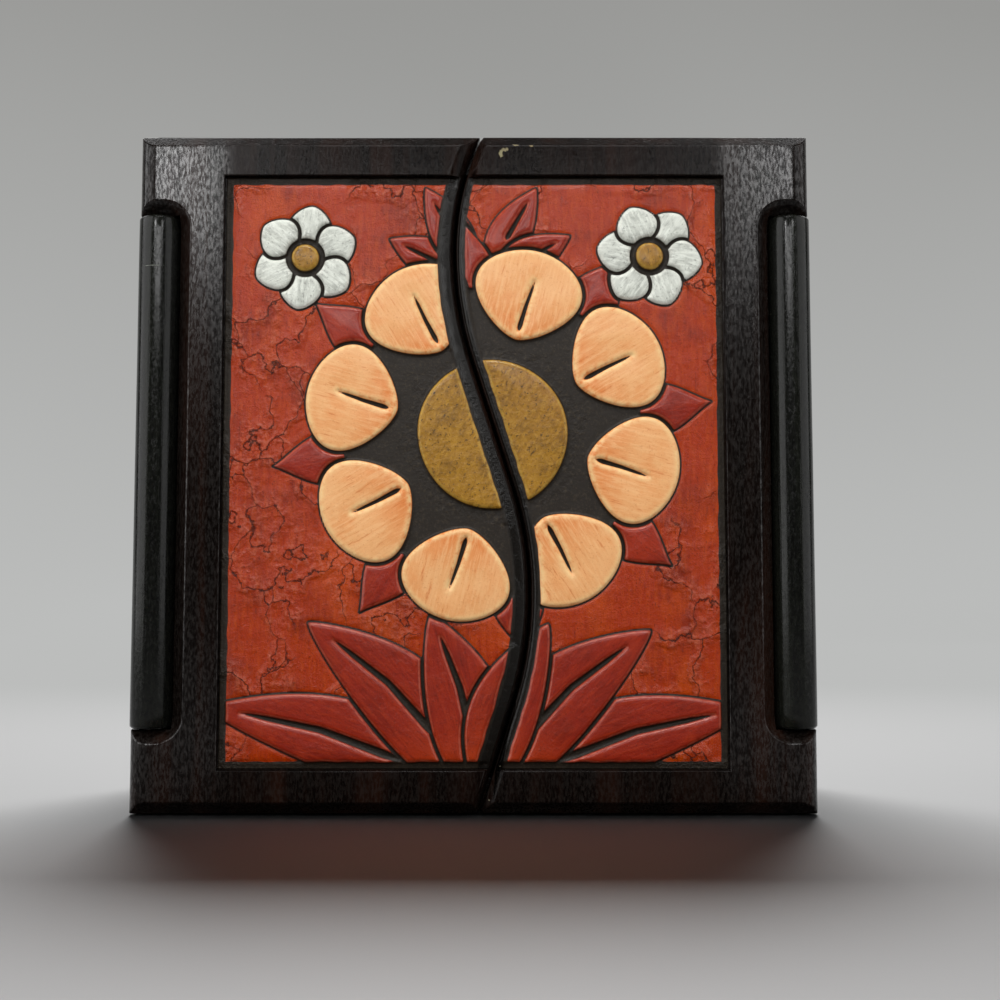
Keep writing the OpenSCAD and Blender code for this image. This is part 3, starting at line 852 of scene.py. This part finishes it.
def nailTree():
    tree = bpy.data.node_groups.new("nailsAtPoints", "GeometryNodeTree")

    def opening(label, way, kind):
        tree.interface.new_socket(label, in_out=way, socket_type="NodeSocket" + kind)

    def add(kind, links, **settings):
        made = tree.nodes.new(kind)
        for key, value in settings.items():
            setattr(made, key, value)
        for key, value in links.items():
            if isinstance(value, bpy.types.NodeSocket):
                tree.links.new(value, made.inputs[key])
            else:
                made.inputs[key].default_value = value
        return made.outputs[0] if made.outputs else None

    def lowered(geometry, length, factor, more=0.0):
        # The geometry moved by a share of a length, and a little more
        move = add("ShaderNodeMath", {0: length, 1: factor, 2: more}, operation="MULTIPLY_ADD")
        shift = add("ShaderNodeCombineXYZ", {"Z": move})
        return add("GeometryNodeTransform", {"Geometry": geometry, "Translation": shift})

    opening("Places", "INPUT", "Geometry")
    for label in list(nail) + ["Length"]:
        opening(label, "INPUT", "Float")
    opening("Finish", "INPUT", "Material")
    opening("Nails", "OUTPUT", "Geometry")
    start = tree.nodes.new("NodeGroupInput")
    given = {socket.name: socket for socket in start.outputs if socket.name}
    head = add("GeometryNodeMeshCone",
               {"Vertices": 24, "Side Segments": 3, "Radius Top": given["Crown radius"],
                "Radius Bottom": given["Head radius"], "Depth": given["Head height"]})
    shank = add("GeometryNodeMeshCylinder",
                {"Vertices": 16, "Radius": given["Shank radius"], "Depth": given["Length"]})
    whole = tree.nodes.new("GeometryNodeJoinGeometry")
    tree.links.new(lowered(head, given["Head height"], -1), whole.inputs[0])
    drop = -nailRow["shankDrop"] * mm
    tree.links.new(lowered(shank, given["Length"], -0.5, drop), whole.inputs[0])
    points = add("GeometryNodeMeshToPoints", {"Mesh": given["Places"]})
    placed = add("GeometryNodeInstanceOnPoints", {"Points": points, "Instance": whole.outputs[0],
                                                  "Rotation": (-math.pi / 2, 0, 0)})
    real = add("GeometryNodeRealizeInstances", {"Geometry": placed})
    painted = add("GeometryNodeSetMaterial", {"Geometry": real, "Material": given["Finish"]})
    add("NodeGroupOutput", {0: painted})
    return tree


def backNails():
    places, length = nailPlaces()
    mesh = bpy.data.meshes.new("nailPlaces")
    mesh.from_pydata((np.array(places) * mm).tolist(), [], [])
    holder = addObject("nailPlaces", mesh)
    maker = holder.modifiers.new("nails", "NODES")
    maker.node_group = nailTree()
    sizes = {label: size * mm for label, size in nail.items()}
    sizes["Length"] = (length - nail["Head height"]) * mm
    sizes["Finish"] = steelFinish
    for socket in maker.node_group.interface.items_tree:
        if socket.name in sizes:
            maker[socket.identifier] = sizes[socket.name]
    made = evaluated(holder)
    bpy.data.objects.remove(holder)
    nails = addObject("nail_heads", made)
    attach(nails, "case")
    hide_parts("back_nails")
    print("nails set:", len(places), "with", len(made.polygons), "faces")


backNails()

# The hinge pins are the CAD's own nodes, in steel. The other nodes are replaced above.
for node in frame["nodes"].values():
    node.data.materials.clear()
    node.data.materials.append(steelFinish)


# Studio: pale floor that curves up into a backdrop, and soft lamps
# high and low are the tones of the paper's painted glow, darker high up as painted shade
studio = {"wide": 9.0, "near": -4.0, "far": 1.2, "bend": 0.6, "tall": 2.4, "steps": 24,
          "floor": "c2c2c2", "floorRough": 0.7, "high": "989896", "low": "bcbdbc",
          "room": "b4b5b4", "dim": (0.8, 0.82, 0.85, 1), "dimStrength": 0.03}
# The paper goes over to a glow, painted light in place of lamplight, between these distances behind
# the box, in front of it and at its sides. Its tone darkens up the rise as painted shade, unevenly
# by the cloud.
glowFrom = {"behind": (0.06, 0.5), "front": (-0.35, -0.8), "aside": (0.35, 0.8),
            "rise": (0.05, 1.25), "cloud": 0.5}


def paperFinish():
    f = Finish("paperSweep")
    spot = f.place()
    apart, height = f.axis(spot, 1), f.axis(spot, 2)
    cloud = (f.noise(spot, 0.8, 1) - 0.5) * glowFrom["cloud"]
    lit = f.node("ShaderNodeBsdfPrincipled", {}, {"Base Color": tone(studio["floor"]),
                                                  "Roughness": studio["floorRough"]})
    # Painted light: the far paper glows instead of being lit, darker up the rise as painted shade
    rise = f.step(height, *glowFrom["rise"], "LINEAR") + cloud
    shade = f.mix(rise, tone(studio["low"]), tone(studio["high"]))
    paintedGlow = f.node("ShaderNodeEmission", {}, {"Color": shade})
    seen, mirrored, through = (f.node("ShaderNodeLightPath", {}, {}, "Is %s Ray" % kind)
                               for kind in ("Camera", "Glossy", "Transmission"))
    far = f.step(apart, *glowFrom["behind"]) * (seen + mirrored + through)
    aside = f.step(abs(f.axis(spot, 0)), *glowFrom["aside"])
    far = far + (f.step(apart, *glowFrom["front"]) + aside) * seen
    both = f.node("ShaderNodeMixShader", {}, {0: far, 1: lit, 2: paintedGlow})
    f.node("ShaderNodeOutputMaterial", {}, {"Surface": both})
    return f.material


def makeSweep():
    line = [(studio["near"], 0.0)]
    for k in range(studio["steps"] + 1):
        a = math.pi / 2 * k / studio["steps"]
        line.append((studio["far"] + studio["bend"] * math.sin(a),
                     studio["bend"] * (1 - math.cos(a))))
    line.append((studio["far"] + studio["bend"], studio["tall"]))
    half = studio["wide"] / 2
    points = [(x, y, z) for y, z in line for x in (-half, half)]
    faces = [(2 * k, 2 * k + 1, 2 * k + 3, 2 * k + 2) for k in range(len(line) - 1)]
    mesh = bpy.data.meshes.new("sweep")
    mesh.from_pydata(points, [], faces)
    mesh.polygons.foreach_set("use_smooth", [True] * len(faces))
    mesh.materials.append(paperFinish())
    sweep = addObject("sweep", mesh)
    return sweep


# Name, place, where it points, size, power, and what it lights: the box or the floor
lamps = [("overFloor", (0.0, 0.6, 1.25), (0, -0.1, 0.0), (0.8, 0.45), 22, "floor"),
         ("topLeft", (-0.385, -1.05, 0.62), (-0.02, 0, 0.1), (0.11, 0.3), 2.3, "box"),
         ("topRight", (0.345, -1.05, 0.62), (0.02, 0, 0.1), (0.11, 0.28), 1.3, "box"),
         ("overField", (-0.03, -1.05, 0.44), (0, 0, 0.16), (0.5, 0.12), 1.5, "box"),
         ("leftSide", (-1.1, -0.45, 0.5), (0, 0, 0.1), (1.3, 1.1), 9.5, "box"),
         ("rightSide", (1.1, -0.45, 0.5), (0, 0, 0.1), (1.3, 1.1), 6, "box"),
         ("above", (0.0, -0.7, 1.3), (0, 0, 0.1), (0.8, 0.3), 13, "box"),
         ("ceiling", (0.0, 0.65, 1.8), (0, 0.1, 0.1), (2.0, 1.0), 0.6, "box"),
         ("behindLeft", (-0.6, 0.9, 1.4), (0, 0, 0.1), (1.0, 0.8), 6, "box"),
         ("behindRight", (0.6, 0.9, 1.4), (0, 0, 0.1), (1.0, 0.8), 6, "box")]


def makeLamps(sweep):
    # Light linking: one lamp lights only the sweep, and the others light all but the sweep
    lit = {}
    for name, state in (("floor", "INCLUDE"), ("box", "EXCLUDE")):
        lit[name] = bpy.data.collections.new(name + "Light")
        lit[name].objects.link(sweep)
        lit[name].collection_objects[0].light_linking.link_state = state
    for name, place, aim, size, power, target in lamps:
        light = bpy.data.lights.new(name, "AREA")
        light.shape, light.size, light.size_y, light.energy = "RECTANGLE", *size, power
        lamp = addObject(name, light)
        lamp.location = place
        lamp.rotation_euler = (Vector(aim) - Vector(place)).to_track_quat("-Z", "Y").to_euler()
        lamp.light_linking.receiver_collection = lit[target]


def makeWorld():
    # A dim room as a light, and a pale one where the camera looks past the sweep
    world = bpy.data.worlds.new("studio")
    world.use_nodes = True
    tree = world.node_tree
    dim, seen = tree.nodes["Background"], tree.nodes.new("ShaderNodeBackground")
    dim.inputs["Color"].default_value = studio["dim"]
    dim.inputs["Strength"].default_value = studio["dimStrength"]
    seen.inputs["Color"].default_value = tone(studio["room"])
    rays, both = tree.nodes.new("ShaderNodeLightPath"), tree.nodes.new("ShaderNodeMixShader")
    tree.links.new(rays.outputs["Is Camera Ray"], both.inputs[0])
    tree.links.new(dim.outputs[0], both.inputs[1])
    tree.links.new(seen.outputs[0], both.inputs[2])
    tree.links.new(both.outputs[0], tree.nodes["World Output"].inputs[0])
    scene.world = world


makeLamps(makeSweep())
makeWorld()
print("studio made")
